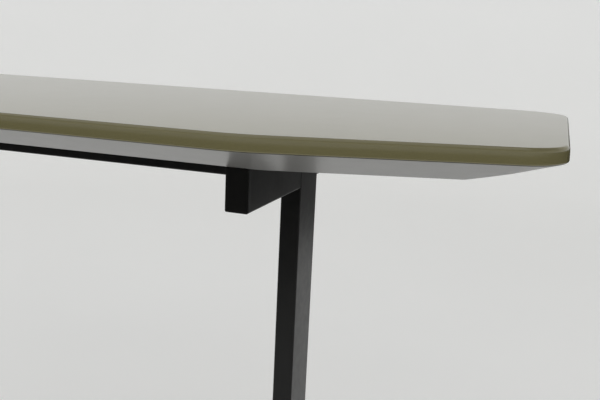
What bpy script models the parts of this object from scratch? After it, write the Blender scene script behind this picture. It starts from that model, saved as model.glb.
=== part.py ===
"""Height adjustable standing desk: a tapered top on a rectangular-tube frame with two telescopic columns.

The origin is on the floor under the middle of the top. X runs along the desk, the user sits at -Y, Z is up.
Everything that rises with the top hangs from the empty "carriage", whose origin is on the top's surface.
"""

import math

import bmesh
import bpy
from mathutils import Matrix, Vector

# Driving dimensions, in metres

GAP = 0.0003  # between pieces that touch

# The top
TOP_LENGTH = 1.600
TOP_DEPTH = 0.700
TOP_HEIGHT = 1.050  # at rest, floor to surface
LOWEST_TOP = 0.700
BOARD_THICKNESS = 0.020
BOARD_TOP_ROUNDING = 0.005
BOARD_BOTTOM_ROUNDING = 0.002
TAPER_LENGTH = 0.348  # stretch of the front edge that runs back towards each end
TAPER_DEPTH = 0.1185
FRONT_CORNER_RADIUS = 0.075
TAPER_RADIUS = 0.187  # where the straight front edge turns into the taper
BACK_CORNER_RADIUS = 0.084

# The sloping tray under the board
SLOPE_WIDTH = 0.120
SLOPE_DROP = 0.039
TRAY_EDGE_STEP = 0.002  # the tray's rim stands back from the board's edge
TRAY_LOWER_CORNER = 0.006
TRAY_RIM = 0.025
TRAY_FLOOR = 0.006
BATTEN_WIDTH = 0.060
BATTEN_END_GAP = 0.003

# The frame
TUBE_WALL = 0.002
TUBE_CORNER = 0.0025
COLUMN_FROM_END = 0.383  # end of the top to the outer face of the column
COLUMN_WIDTH = 0.033
COLUMN_DEPTH = 0.080
COLUMN_BEHIND_MIDDLE = 0.018
ARM_HEIGHTS = {"front": 0.060, "back": 0.050}
ARM_SETBACK = 0.0005  # the column's outer face stands this far proud of the arms
BEAM_HEIGHT = 0.052
CAP_FACE = 0.003
CAP_PLUG_LENGTH = 0.014
CAP_EDGE = 0.0008

# The telescopic columns
SLIDE_ROOM = 0.002  # between the outer and the inner tube, all round
HEAD_GAP = 0.004  # inner tube to gear housing at the lowest height
CLOSED_GAP = 0.005  # collar to foot at the lowest height
COLLAR_FACE = 0.004
COLLAR_SLEEVE = 0.030
GLIDE_RING_HEIGHT = 0.030
NUT_HEIGHT = 0.032
RING_BELOW_END = 0.001

# The drive
SPINDLE_RADIUS = 0.006
SPINDLE_CLEARANCE = 0.0003
SPINDLE_FLOOR_GAP = 0.008  # spindle end to foot at the lowest height
SHAFT_RADIUS = 0.0045  # across the corners of the hexagon
SHAFT_HOLE_RADIUS = 0.0060
GEAR_RADIUS = 0.0090
GEAR_FACE = 0.0045
GEAR_BACKLASH = 0.0005
GEAR_HUB_STEP = 0.0015  # gear hub wider than the spindle, so that it stands on the bearing
GEAR_HUB_LENGTH = 0.0028
GEAR_CHAMBER_RADIUS = 0.0105
BEARING_HEIGHT = 0.008
HOUSING_TOP_GAP = 0.003
MOTOR_RADIUS = 0.020
MOTOR_LENGTH = 0.150
MOTOR_END_ROUNDING = 0.002

# The feet
FOOT_SETBACK = 0.030  # ends of the foot behind the edges of the top
FOOT_WIDTH = 0.060
FOOT_HEIGHT = 0.030
FOOT_CLEARANCE = 0.010  # foot tube above the floor
PAD_RADIUS = 0.018
PAD_HEIGHT = 0.007
PAD_EDGE = 0.0015
STUD_RADIUS = 0.004
STUD_LENGTH = 0.030
PAD_FROM_END = 0.045

# The controls
CONTROL_BOX = (0.240, 0.090, 0.036)
CONTROL_BOX_FROM_COLUMN = 0.050
CONTROL_BOX_BEHIND_BEAM = 0.012
CONTROL_BOX_EDGE = 0.003
INLET_OUTSIDE = (0.030, 0.024)
INLET_INSIDE = (0.026, 0.019)
INLET_DEPTH = 0.018
INLET_FLOOR = 0.003
INLET_PIN = (0.004, 0.002, 0.010)
INLET_PIN_PITCH = 0.007
INLET_PIN_RISE = 0.004
HANDSET = (0.096, 0.044, 0.020)
HANDSET_FROM_ARM = 0.024
HANDSET_BEHIND_SLOPE = 0.004
HANDSET_EDGE = 0.002
BUTTON = (0.032, 0.009, 0.011)
BUTTON_PITCH = 0.042
BUTTON_PROUD = 0.0025
BUTTON_TRAVEL = 0.002
BUTTON_EDGE = 0.0008

# The fasteners
SCREW_RADIUS = 0.003
SCREW_HOLE_RADIUS = 0.0034
SCREW_HEAD_RADIUS = 0.006
SCREW_HEAD_HEIGHT = 0.0035
SCREW_IN_BATTEN = 0.020
SCREW_FROM_ARM_END = 0.040

# Sizes that follow from the ones above
HALF_LENGTH = TOP_LENGTH / 2
HALF_DEPTH = TOP_DEPTH / 2
ARM_WIDTH = COLUMN_WIDTH
GEAR_HUB_RADIUS = SPINDLE_RADIUS + GEAR_HUB_STEP
UNDERSIDE = -BOARD_THICKNESS - SLOPE_DROP  # below the surface
COLUMN_X = HALF_LENGTH - COLUMN_FROM_END - COLUMN_WIDTH / 2
COLUMN_Y = COLUMN_BEHIND_MIDDLE
ARM_X = HALF_LENGTH - COLUMN_FROM_END - ARM_SETBACK - ARM_WIDTH / 2
FOOT_TOP = FOOT_CLEARANCE + FOOT_HEIGHT
LOWERED = TOP_HEIGHT - LOWEST_TOP
INNER_WIDTH = COLUMN_WIDTH - 2 * (TUBE_WALL + SLIDE_ROOM)
INNER_DEPTH = COLUMN_DEPTH - 2 * (TUBE_WALL + SLIDE_ROOM)
COLLAR_BOTTOM = FOOT_TOP + CLOSED_GAP - LOWEST_TOP
COLUMN_BOTTOM = COLLAR_BOTTOM + COLLAR_FACE + GAP
COLUMN_TOP = UNDERSIDE - GAP
SHAFT_Z = UNDERSIDE - BEAM_HEIGHT / 2
SPINDLE_TOP = -GEAR_RADIUS - GEAR_BACKLASH - GEAR_HUB_LENGTH - GAP
HOUSING_BOTTOM = SHAFT_Z + SPINDLE_TOP - GAP - BEARING_HEIGHT
INNER_TOP = LOWEST_TOP + HOUSING_BOTTOM - HEAD_GAP
FLAT_FRONT = -HALF_DEPTH + SLOPE_WIDTH
FLAT_BACK = HALF_DEPTH - SLOPE_WIDTH
SIDES = (("left", -1), ("right", 1))
ENDS = (("front", -1), ("back", 1))

OUTLINE_STEPS = 10
TUBE_STEPS = 3
TURNED_STEPS = 28


# Scene, materials and small helpers


def clear_scene():
    for stale in list(bpy.data.objects):
        bpy.data.objects.remove(stale)


def new_collection(name):
    made = bpy.data.collections.new(name)
    bpy.context.scene.collection.children.link(made)
    return made


def new_material(name, colour, roughness, metallic=0.0):
    made = bpy.data.materials.new(name)
    made.use_nodes = True
    made.diffuse_color = (*colour, 1.0)
    shader = made.node_tree.nodes["Principled BSDF"]
    shader.inputs["Base Color"].default_value = (*colour, 1.0)
    shader.inputs["Roughness"].default_value = roughness
    shader.inputs["Metallic"].default_value = metallic
    return made


clear_scene()
PARTS = new_collection("standing_desk")
CUTTERS = new_collection("cutters")
CUTTERS.hide_render = True

OLIVE = new_material("olive_lacquer", (0.205, 0.200, 0.140), 0.35)
GREY = new_material("grey_lacquer", (0.300, 0.300, 0.295), 0.30)
WOOD = new_material("batten_wood", (0.520, 0.390, 0.240), 0.70)
BLACK = new_material("black_powder_coat", (0.016, 0.016, 0.015), 0.45)
CAP_BLACK = new_material("black_plastic", (0.014, 0.014, 0.013), 0.50)
STEEL = new_material("bright_steel", (0.560, 0.560, 0.550), 0.30, 1.0)
GLIDE = new_material("glide_plastic", (0.640, 0.620, 0.560), 0.45)
MOTOR_GREY = new_material("motor_grey", (0.120, 0.120, 0.125), 0.50)
BUTTON_GREY = new_material("button_grey", (0.160, 0.160, 0.160), 0.45)
PAD_RUBBER = new_material("pad_rubber", (0.020, 0.020, 0.020), 0.70)


def new_empty(name, location, parent=None):
    made = bpy.data.objects.new(name, None)
    PARTS.objects.link(made)
    made.location = location
    made.parent = parent
    return made


def place(name, mesh, look, location=(0, 0, 0), parent=None, turn=(0, 0, 0)):
    made = bpy.data.objects.new(name, mesh)
    PARTS.objects.link(made)
    made.location = location
    made.rotation_euler = turn
    made.parent = parent
    mesh.materials.clear()
    mesh.materials.append(look)
    return made


def place_cutter(name, mesh, location=(0, 0, 0), parent=None, turn=(0, 0, 0)):
    made = bpy.data.objects.new(name, mesh)
    CUTTERS.objects.link(made)
    made.location = location
    made.rotation_euler = turn
    made.parent = parent
    made.hide_render = True
    made.display_type = "WIRE"
    return made


def cut(target, cutter):
    hole = target.modifiers.new(cutter.name, "BOOLEAN")
    hole.operation = "DIFFERENCE"
    hole.solver = "EXACT"
    hole.object = cutter


def round_edges(target, width, segments=2):
    rounding = target.modifiers.new("rounding", "BEVEL")
    rounding.width = width
    rounding.segments = segments
    rounding.limit_method = "ANGLE"
    rounding.angle_limit = math.radians(40)


ALONG_Y = (-math.pi / 2, 0, 0)  # turns a piece built along Z to run along +Y
AGAINST_Y = (math.pi / 2, 0, 0)
ALONG_X = (0, math.pi / 2, 0)


# Shapes


def smooth(mesh, angle=35):
    mesh.shade_smooth()
    mesh.set_sharp_from_angle(angle=math.radians(angle))
    return mesh


def block_mesh(name, size):
    mesh = bpy.data.meshes.new(name)
    cube = bmesh.new()
    bmesh.ops.create_cube(cube, size=1.0)
    bmesh.ops.scale(cube, vec=size, verts=cube.verts)
    cube.to_mesh(mesh)
    cube.free()
    return mesh


def rod_mesh(name, radius, length, sides=TURNED_STEPS):
    mesh = bpy.data.meshes.new(name)
    rod = bmesh.new()
    bmesh.ops.create_cone(rod, cap_ends=True, segments=sides, radius1=radius, radius2=radius, depth=length)
    rod.to_mesh(mesh)
    rod.free()
    return smooth(mesh)


def turned(name, profile, look, location, parent=None, turn=(0, 0, 0), ring=False):
    """A piece turned about its own Z, from (radius, height) points down its outer side."""
    mesh = bpy.data.meshes.new(name)
    points = [(radius, 0, height) for radius, height in profile]
    edges = [(i, i + 1) for i in range(len(points) - 1)]
    if ring:
        edges.append((len(points) - 1, 0))
    mesh.from_pydata(points, edges, [])
    made = place(name, mesh, look, location, parent, turn)
    screw = made.modifiers.new("turning", "SCREW")
    screw.steps = TURNED_STEPS
    screw.render_steps = TURNED_STEPS
    screw.use_smooth_shade = True
    screw.use_merge_vertices = True
    screw.merge_threshold = 0.00005
    return made


def rounded_rectangle(width, height, radius):
    """Points of a rectangle with round corners, counter-clockwise about the origin."""
    corners = []
    for sign_x, sign_y in ((1, 1), (-1, 1), (-1, -1), (1, -1)):
        corners.append((Vector((sign_x * width / 2, sign_y * height / 2)), radius))
    return rounded_outline(corners, TUBE_STEPS)


def tube_mesh(name, width, height, length, wall=TUBE_WALL, corner=TUBE_CORNER):
    """A rectangular tube along Z, centred on the origin: an outline with a hole, given a length."""
    curve = bpy.data.curves.new(name, "CURVE")
    curve.dimensions = "2D"
    curve.fill_mode = "BOTH"
    curve.extrude = length / 2
    inside = rounded_rectangle(width - 2 * wall, height - 2 * wall, max(corner - wall / 2, corner / 4))
    for outline in (rounded_rectangle(width, height, corner), inside):
        spline = curve.splines.new("POLY")
        spline.points.add(len(outline) - 1)
        for point, place_at in zip(spline.points, outline):
            point.co = (place_at.x, place_at.y, 0, 1)
        spline.use_cyclic_u = True
    holder = bpy.data.objects.new(name, curve)
    bpy.context.scene.collection.objects.link(holder)
    graph = bpy.context.evaluated_depsgraph_get()
    mesh = bpy.data.meshes.new_from_object(holder.evaluated_get(graph))
    bpy.data.objects.remove(holder)
    bpy.data.curves.remove(curve)
    welded = bmesh.new()
    welded.from_mesh(mesh)
    bmesh.ops.remove_doubles(welded, verts=welded.verts, dist=0.00001)
    welded.to_mesh(mesh)
    welded.free()
    return smooth(mesh)


def loft_mesh(name, rings, closed=False):
    """A solid through rings with equal numbers of points: capped at both ends, or closed on itself."""
    loft = bmesh.new()
    rows = [[loft.verts.new(point) for point in ring] for ring in rings]
    pairs = list(zip(rows, rows[1:]))
    if closed:
        pairs.append((rows[-1], rows[0]))
    else:
        loft.faces.new(list(reversed(rows[0])))
        loft.faces.new(rows[-1])
    count = len(rings[0])
    for lower, upper in pairs:
        for i in range(count):
            following = (i + 1) % count
            loft.faces.new((lower[i], lower[following], upper[following], upper[i]))
    bmesh.ops.recalc_face_normals(loft, faces=loft.faces)
    mesh = bpy.data.meshes.new(name)
    loft.to_mesh(mesh)
    loft.free()
    return smooth(mesh)


def at_height(outline, height):
    return [Vector((point.x, point.y, height)) for point in outline]


def rounded_outline(corners, steps):
    """Points round a convex outline, given counter-clockwise corners, each with its rounding."""
    points = []
    for i, (here, radius) in enumerate(corners):
        normal_in, normal_out = inward_normals(corners, i)
        centre = here + (normal_in + normal_out) * radius / (1 + normal_in.dot(normal_out))
        turn = math.atan2(normal_in.cross(normal_out), normal_in.dot(normal_out))
        for step in range(steps + 1):
            spoke = Matrix.Rotation(turn * step / steps, 2) @ normal_in
            points.append(centre - radius * spoke)
    return points


def inward_normals(corners, i):
    """The inward normals of the edges that run into and out of corner i."""
    here = corners[i][0]
    before = (here - corners[i - 1][0]).normalized()
    after = (corners[(i + 1) % len(corners)][0] - here).normalized()
    return Vector((-before.y, before.x)), Vector((-after.y, after.x))


def top_outline(inset, least_radius):
    """The outline of the top, moved inwards. Its rounding shrinks with it, down to least_radius."""
    end = HALF_LENGTH
    corners = [
        (Vector((end, HALF_DEPTH)), BACK_CORNER_RADIUS),
        (Vector((-end, HALF_DEPTH)), BACK_CORNER_RADIUS),
        (Vector((-end, TAPER_DEPTH - HALF_DEPTH)), FRONT_CORNER_RADIUS),
        (Vector((TAPER_LENGTH - end, -HALF_DEPTH)), TAPER_RADIUS),
        (Vector((end - TAPER_LENGTH, -HALF_DEPTH)), TAPER_RADIUS),
        (Vector((end, TAPER_DEPTH - HALF_DEPTH)), FRONT_CORNER_RADIUS),
    ]
    moved = []
    for i, (here, radius) in enumerate(corners):
        normal_in, normal_out = inward_normals(corners, i)
        step = (normal_in + normal_out) * inset / (1 + normal_in.dot(normal_out))
        moved.append((here + step, max(radius - inset, least_radius)))
    return rounded_outline(moved, OUTLINE_STEPS)


# The top


def make_board(carriage):
    """The board: the outline extruded, its upper and lower edges rounded by different amounts."""
    board = bmesh.new()
    weight = board.edges.layers.float.new("bevel_weight_edge")
    outline = at_height(top_outline(0, FRONT_CORNER_RADIUS), -BOARD_THICKNESS)
    face = board.faces.new([board.verts.new(point) for point in outline])
    raised = bmesh.ops.extrude_face_region(board, geom=[face])["geom"]
    upper = [part for part in raised if isinstance(part, bmesh.types.BMVert)]
    bmesh.ops.translate(board, vec=(0, 0, BOARD_THICKNESS), verts=upper)
    bmesh.ops.recalc_face_normals(board, faces=board.faces)
    for edge in board.edges:
        level = {round(vert.co.z, 6) for vert in edge.verts}
        if level == {0.0}:
            edge[weight] = 1.0
        elif len(level) == 1:
            edge[weight] = BOARD_BOTTOM_ROUNDING / BOARD_TOP_ROUNDING
    mesh = bpy.data.meshes.new("desktop_board")
    board.to_mesh(mesh)
    board.free()
    made = place("desktop_board", mesh, OLIVE, parent=carriage)
    rounding = made.modifiers.new("rounding", "BEVEL")
    rounding.width = BOARD_TOP_ROUNDING
    rounding.segments = 4
    rounding.limit_method = "WEIGHT"
    return made


def screw_places():
    """Where the four long screws stand: (end, side, x, y)."""
    for side, sign_x in SIDES:
        for end, sign_y in ENDS:
            yield end, side, sign_x * ARM_X, sign_y * (FLAT_BACK - SCREW_FROM_ARM_END)


def make_tray(carriage):
    """The sloping tray: a tapered plate, hollowed from above, with holes for the long screws."""
    top = -BOARD_THICKNESS - GAP
    slope = SLOPE_DROP / SLOPE_WIDTH
    pocket_depth = SLOPE_DROP - TRAY_FLOOR
    upper = at_height(top_outline(TRAY_EDGE_STEP, TRAY_LOWER_CORNER), top)
    lower = at_height(top_outline(SLOPE_WIDTH, TRAY_LOWER_CORNER), UNDERSIDE)
    made = place("underside_tray", loft_mesh("underside_tray", [lower, upper]), GREY, parent=carriage)
    mouth = at_height(top_outline(TRAY_RIM - TRAY_FLOOR / slope, TRAY_LOWER_CORNER), top + TRAY_FLOOR)
    floor_outline = top_outline(TRAY_RIM + pocket_depth / slope, TRAY_LOWER_CORNER)
    bottom = at_height(floor_outline, top - pocket_depth + GAP)
    pocket = loft_mesh("tray_pocket", [bottom, mouth])
    cut(made, place_cutter("tray_pocket", pocket, parent=carriage))
    for end, side, x, y in screw_places():
        hole = rod_mesh(f"tray_hole_{end}_{side}", SCREW_HOLE_RADIUS, 4 * TRAY_FLOOR)
        cut(made, place_cutter(f"tray_hole_{end}_{side}", hole, (x, y, UNDERSIDE), carriage))
    return made


def make_battens(carriage):
    """Battens between the tray's floor and the board: two over the arms, two across."""
    height = SLOPE_DROP - TRAY_FLOOR - 2 * GAP
    middle = UNDERSIDE + TRAY_FLOOR + GAP + height / 2
    run = FLAT_BACK - TRAY_RIM / 2
    cross = 2 * (ARM_X - BATTEN_WIDTH / 2 - BATTEN_END_GAP)
    for side, sign_x in SIDES:
        size = (BATTEN_WIDTH, 2 * run, height)
        where = (sign_x * ARM_X, 0, middle)
        batten = place(f"batten_{side}", block_mesh(f"batten_{side}", size), WOOD, where, carriage)
        for end, sign_y in ENDS:
            hole = rod_mesh(f"batten_hole_{end}_{side}", SCREW_HOLE_RADIUS, 2 * (SCREW_IN_BATTEN + GAP))
            y = sign_y * (FLAT_BACK - SCREW_FROM_ARM_END)
            spot = (sign_x * ARM_X, y, UNDERSIDE + TRAY_FLOOR)
            cut(batten, place_cutter(f"batten_hole_{end}_{side}", hole, spot, carriage))
    for end, sign_y in ENDS:
        size = (cross, BATTEN_WIDTH, height)
        where = (0, sign_y * (run - BATTEN_WIDTH / 2), middle)
        place(f"batten_{end}", block_mesh(f"batten_{end}", size), WOOD, where, carriage)


# The frame under the top


def plug_mesh(name, width, height):
    """An end cap built along Z: its face outside the tube, its plug inside."""
    corner = TUBE_CORNER
    inner_width = width - 2 * (TUBE_WALL + GAP)
    inner_height = height - 2 * (TUBE_WALL + GAP)
    face = rounded_rectangle(width, height, corner)
    edge = rounded_rectangle(width - 2 * CAP_EDGE, height - 2 * CAP_EDGE, corner - CAP_EDGE)
    plug = rounded_rectangle(inner_width, inner_height, corner)
    rings = [
        at_height(plug, -CAP_PLUG_LENGTH),
        at_height(plug, 0),
        at_height(face, 0),
        at_height(face, CAP_FACE - CAP_EDGE),
        at_height(edge, CAP_FACE),
    ]
    return loft_mesh(name, rings)


def make_arms(carriage):
    """Two arms on each column, from its front and back faces to where the tray's slope starts."""
    for side, sign_x in SIDES:
        x = sign_x * ARM_X
        for end, sign_y in ENDS:
            height = ARM_HEIGHTS[end]
            z = UNDERSIDE - GAP - height / 2
            root = COLUMN_Y + sign_y * (COLUMN_DEPTH / 2 + GAP)
            cap_back = sign_y * (FLAT_BACK - CAP_FACE)
            tip = cap_back - sign_y * GAP
            tube = tube_mesh(f"arm_{end}_{side}", ARM_WIDTH, height, abs(tip - root))
            arm = place(f"arm_{end}_{side}", tube, BLACK, (x, (root + tip) / 2, z), carriage, ALONG_Y)
            y = sign_y * (FLAT_BACK - SCREW_FROM_ARM_END)
            hole = rod_mesh(f"arm_hole_{end}_{side}", SCREW_HOLE_RADIUS, 2 * height)
            cut(arm, place_cutter(f"arm_hole_{end}_{side}", hole, (x, y, z), carriage))
            cap = plug_mesh(f"arm_cap_{end}_{side}", ARM_WIDTH, height)
            turn = ALONG_Y if sign_y > 0 else AGAINST_Y
            place(f"arm_cap_{end}_{side}", cap, CAP_BLACK, (x, cap_back, z), carriage, turn)


def make_arm_screws(carriage):
    """Long screws from below each arm, through the tray's floor and into a batten."""
    for end, side, x, y in screw_places():
        head_top = UNDERSIDE - 2 * GAP - ARM_HEIGHTS[end]
        tip = UNDERSIDE + TRAY_FLOOR + SCREW_IN_BATTEN - head_top
        profile = [
            (0, tip - GAP),
            (SCREW_RADIUS, tip - GAP - SCREW_RADIUS),
            (SCREW_RADIUS, 0),
            (SCREW_HEAD_RADIUS, 0),
            (SCREW_HEAD_RADIUS, -SCREW_HEAD_HEIGHT / 2),
            (SCREW_HEAD_RADIUS - SCREW_HEAD_HEIGHT / 2, -SCREW_HEAD_HEIGHT),
            (0, -SCREW_HEAD_HEIGHT),
        ]
        turned(f"arm_screw_{end}_{side}", profile, STEEL, (x, y, head_top), carriage)


def make_outer_columns(carriage):
    """The fixed upper tubes, each with a hole in its inner side for the drive shaft."""
    length = COLUMN_TOP - COLUMN_BOTTOM
    for side, sign_x in SIDES:
        tube = tube_mesh(f"outer_column_{side}", COLUMN_WIDTH, COLUMN_DEPTH, length)
        where = (sign_x * COLUMN_X, COLUMN_Y, (COLUMN_TOP + COLUMN_BOTTOM) / 2)
        column = place(f"outer_column_{side}", tube, BLACK, where, carriage)
        hole = rod_mesh(f"shaft_hole_{side}", SHAFT_HOLE_RADIUS, COLUMN_WIDTH)
        spot = (sign_x * (COLUMN_X - COLUMN_WIDTH / 2), COLUMN_Y, SHAFT_Z)
        cut(column, place_cutter(f"shaft_hole_{side}", hole, spot, carriage, ALONG_X))


def make_crossbeam(carriage):
    length = 2 * (COLUMN_X - COLUMN_WIDTH / 2 - GAP)
    tube = tube_mesh("crossbeam", BEAM_HEIGHT - GAP, COLUMN_DEPTH, length)
    where = (0, COLUMN_Y, UNDERSIDE - GAP - (BEAM_HEIGHT - GAP) / 2)
    place("crossbeam", tube, BLACK, where, carriage, ALONG_X)


# The telescopic columns


def make_collars(carriage):
    """A collar on the lower end of each outer tube, with a sleeve that guides the inner tube."""
    sleeve_width = COLUMN_WIDTH - 2 * (TUBE_WALL + GAP)
    sleeve_depth = COLUMN_DEPTH - 2 * (TUBE_WALL + GAP)
    face = rounded_rectangle(COLUMN_WIDTH, COLUMN_DEPTH, TUBE_CORNER)
    sleeve = rounded_rectangle(sleeve_width, sleeve_depth, TUBE_CORNER)
    bore = rounded_rectangle(INNER_WIDTH + 2 * GAP, INNER_DEPTH + 2 * GAP, TUBE_CORNER)
    rings = [
        at_height(bore, 0),
        at_height(face, 0),
        at_height(face, COLLAR_FACE),
        at_height(sleeve, COLLAR_FACE),
        at_height(sleeve, COLLAR_FACE + COLLAR_SLEEVE),
        at_height(bore, COLLAR_FACE + COLLAR_SLEEVE),
    ]
    for side, sign_x in SIDES:
        mesh = loft_mesh(f"column_collar_{side}", rings, closed=True)
        where = (sign_x * COLUMN_X, COLUMN_Y, COLLAR_BOTTOM)
        place(f"column_collar_{side}", mesh, CAP_BLACK, where, carriage)


def make_inner_columns():
    """The lower tubes that stand on the feet, each with a glide ring round its end and a nut in it."""
    bottom = FOOT_TOP + GAP
    for side, sign_x in SIDES:
        x = sign_x * COLUMN_X
        tube = tube_mesh(f"inner_column_{side}", INNER_WIDTH, INNER_DEPTH, INNER_TOP - bottom)
        place(f"inner_column_{side}", tube, BLACK, (x, COLUMN_Y, (INNER_TOP + bottom) / 2))
        ring_width = COLUMN_WIDTH - 2 * (TUBE_WALL + GAP)
        ring_depth = COLUMN_DEPTH - 2 * (TUBE_WALL + GAP)
        wall = SLIDE_ROOM - 2 * GAP
        ring = tube_mesh(f"glide_ring_{side}", ring_width, ring_depth, GLIDE_RING_HEIGHT, wall)
        z = INNER_TOP - RING_BELOW_END - GLIDE_RING_HEIGHT / 2
        place(f"glide_ring_{side}", ring, GLIDE, (x, COLUMN_Y, z))
        size = (INNER_WIDTH - 2 * (TUBE_WALL + GAP), INNER_DEPTH - 2 * (TUBE_WALL + GAP), NUT_HEIGHT)
        where = (x, COLUMN_Y, INNER_TOP - RING_BELOW_END - NUT_HEIGHT / 2)
        nut = place(f"spindle_nut_{side}", block_mesh(f"spindle_nut_{side}", size), GLIDE, where)
        round_edges(nut, TUBE_CORNER)
        bore = rod_mesh(f"nut_bore_{side}", SPINDLE_RADIUS + SPINDLE_CLEARANCE, 2 * NUT_HEIGHT)
        cut(nut, place_cutter(f"nut_bore_{side}", bore, where))


# The drive: a motor in the beam turns two shafts, and a mitre gear pair turns each spindle


def make_housings(carriage):
    """A gear housing in the head of each column, bored from below for the spindle and from one side."""
    top = UNDERSIDE - HOUSING_TOP_GAP
    bottom = HOUSING_BOTTOM
    size = (COLUMN_WIDTH - 2 * (TUBE_WALL + GAP), COLUMN_DEPTH - 2 * (TUBE_WALL + GAP), top - bottom)
    for side, sign_x in SIDES:
        where = (sign_x * COLUMN_X, COLUMN_Y, (top + bottom) / 2)
        name = f"gear_housing_{side}"
        housing = place(name, block_mesh(name, size), MOTOR_GREY, where, carriage)
        round_edges(housing, TUBE_CORNER)
        roof = SHAFT_Z + GEAR_CHAMBER_RADIUS
        depth = roof - bottom + GEAR_CHAMBER_RADIUS
        well = rod_mesh(f"gear_well_{side}", GEAR_CHAMBER_RADIUS, depth)
        spot = (sign_x * COLUMN_X, COLUMN_Y, roof - depth / 2)
        cut(housing, place_cutter(f"gear_well_{side}", well, spot, carriage))
        mouth = rod_mesh(f"gear_mouth_{side}", GEAR_CHAMBER_RADIUS - GAP, COLUMN_WIDTH)
        spot = (sign_x * (COLUMN_X - COLUMN_WIDTH / 2), COLUMN_Y, SHAFT_Z)
        cut(housing, place_cutter(f"gear_mouth_{side}", mouth, spot, carriage, ALONG_X))


def mitre_profile():
    """A mitre gear's profile without teeth: the origin is where the two shafts' axes meet."""
    back = -GEAR_RADIUS - GEAR_BACKLASH
    front = back + GEAR_FACE
    return [
        (0, front),
        (GEAR_RADIUS - GEAR_FACE, front),
        (GEAR_RADIUS, back),
        (GEAR_HUB_RADIUS, back),
        (GEAR_HUB_RADIUS, back - GEAR_HUB_LENGTH),
        (0, back - GEAR_HUB_LENGTH),
    ]


def make_spindles(carriage):
    """Lead screws that hang from the gears, and the thrust bearings that carry them."""
    end = FOOT_TOP + SPINDLE_FLOOR_GAP + LOWERED - TOP_HEIGHT - SHAFT_Z
    spindle = [
        (0, SPINDLE_TOP),
        (SPINDLE_RADIUS, SPINDLE_TOP),
        (SPINDLE_RADIUS, end + SPINDLE_RADIUS / 3),
        (SPINDLE_RADIUS * 2 / 3, end),
        (0, end),
    ]
    high = SPINDLE_TOP - GAP
    low = high - BEARING_HEIGHT
    inside = SPINDLE_RADIUS + SPINDLE_CLEARANCE
    outside = GEAR_CHAMBER_RADIUS - GAP
    race = [(inside, high), (outside, high), (outside, low), (inside, low)]
    for side, sign_x in SIDES:
        axis = (sign_x * COLUMN_X, COLUMN_Y, SHAFT_Z)
        turned(f"spindle_{side}", spindle, STEEL, axis, carriage)
        turned(f"spindle_gear_{side}", mitre_profile(), STEEL, axis, carriage)
        turned(f"spindle_bearing_{side}", race, STEEL, axis, carriage, ring=True)


def make_motor(carriage):
    """The motor in the middle of the beam, with a hexagon shaft and a gear towards each column."""
    middle = new_empty("drive_axis", (0, COLUMN_Y, SHAFT_Z), carriage)
    rod = rod_mesh("drive_motor", MOTOR_RADIUS, MOTOR_LENGTH)
    can = place("drive_motor", rod, MOTOR_GREY, parent=middle)
    can.rotation_euler = ALONG_X
    round_edges(can, MOTOR_END_ROUNDING)
    start = MOTOR_LENGTH / 2 + GAP
    stop = COLUMN_X - GEAR_RADIUS - GEAR_BACKLASH - GEAR_HUB_LENGTH - GAP
    for side, sign_x in SIDES:
        name = f"drive_shaft_{side}"
        rod = rod_mesh(name, SHAFT_RADIUS, stop - start, 6)
        place(name, rod, STEEL, (sign_x * (start + stop) / 2, 0, 0), middle, ALONG_X)
        turn = (0, sign_x * math.pi / 2, 0)
        turned(f"shaft_gear_{side}", mitre_profile(), STEEL, (sign_x * COLUMN_X, 0, 0), middle, turn)


# The feet


def make_feet():
    """A foot under each column: a flat tube with caps and two levelling pads on studs."""
    z = FOOT_CLEARANCE + FOOT_HEIGHT / 2
    reach = HALF_DEPTH - FOOT_SETBACK
    profile = [
        (0, STUD_LENGTH + PAD_HEIGHT),
        (STUD_RADIUS, STUD_LENGTH + PAD_HEIGHT),
        (STUD_RADIUS, PAD_HEIGHT),
        (PAD_RADIUS - PAD_EDGE, PAD_HEIGHT),
        (PAD_RADIUS, PAD_HEIGHT - PAD_EDGE),
        (PAD_RADIUS, PAD_EDGE / 2),
        (PAD_RADIUS - PAD_EDGE / 2, 0),
        (0, 0),
    ]
    for side, sign_x in SIDES:
        x = sign_x * COLUMN_X
        length = 2 * (reach - CAP_FACE - GAP)
        tube = tube_mesh(f"foot_{side}", FOOT_WIDTH, FOOT_HEIGHT, length)
        foot = place(f"foot_{side}", tube, BLACK, (x, 0, z), turn=ALONG_Y)
        for end, sign_y in ENDS:
            cap = plug_mesh(f"foot_cap_{end}_{side}", FOOT_WIDTH, FOOT_HEIGHT)
            turn = ALONG_Y if sign_y > 0 else AGAINST_Y
            where = (x, sign_y * (reach - CAP_FACE), z)
            place(f"foot_cap_{end}_{side}", cap, CAP_BLACK, where, turn=turn)
            y = sign_y * (reach - PAD_FROM_END)
            hole = rod_mesh(f"stud_hole_{end}_{side}", STUD_RADIUS + GAP, FOOT_HEIGHT)
            cut(foot, place_cutter(f"stud_hole_{end}_{side}", hole, (x, y, FOOT_CLEARANCE)))
            turned(f"levelling_pad_{end}_{side}", profile, PAD_RUBBER, (x, y, 0))


# The controls


def make_control_box(carriage):
    """The control box behind the beam, near the left column, with a mains inlet in its end."""
    length, depth, height = CONTROL_BOX
    x = -COLUMN_X + COLUMN_WIDTH / 2 + CONTROL_BOX_FROM_COLUMN + length / 2
    y = COLUMN_Y + COLUMN_DEPTH / 2 + CONTROL_BOX_BEHIND_BEAM + depth / 2
    z = UNDERSIDE - GAP - height / 2
    body = place("control_box", block_mesh("control_box", CONTROL_BOX), CAP_BLACK, (x, y, z), carriage)
    round_edges(body, CONTROL_BOX_EDGE)
    wide, tall = INLET_OUTSIDE
    end = x - length / 2
    recess = block_mesh("inlet_recess", (2 * (INLET_DEPTH + GAP), wide + 2 * GAP, tall + 2 * GAP))
    cut(body, place_cutter("inlet_recess", recess, (end, y, z), carriage))
    make_inlet(carriage, (end, y, z))


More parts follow.
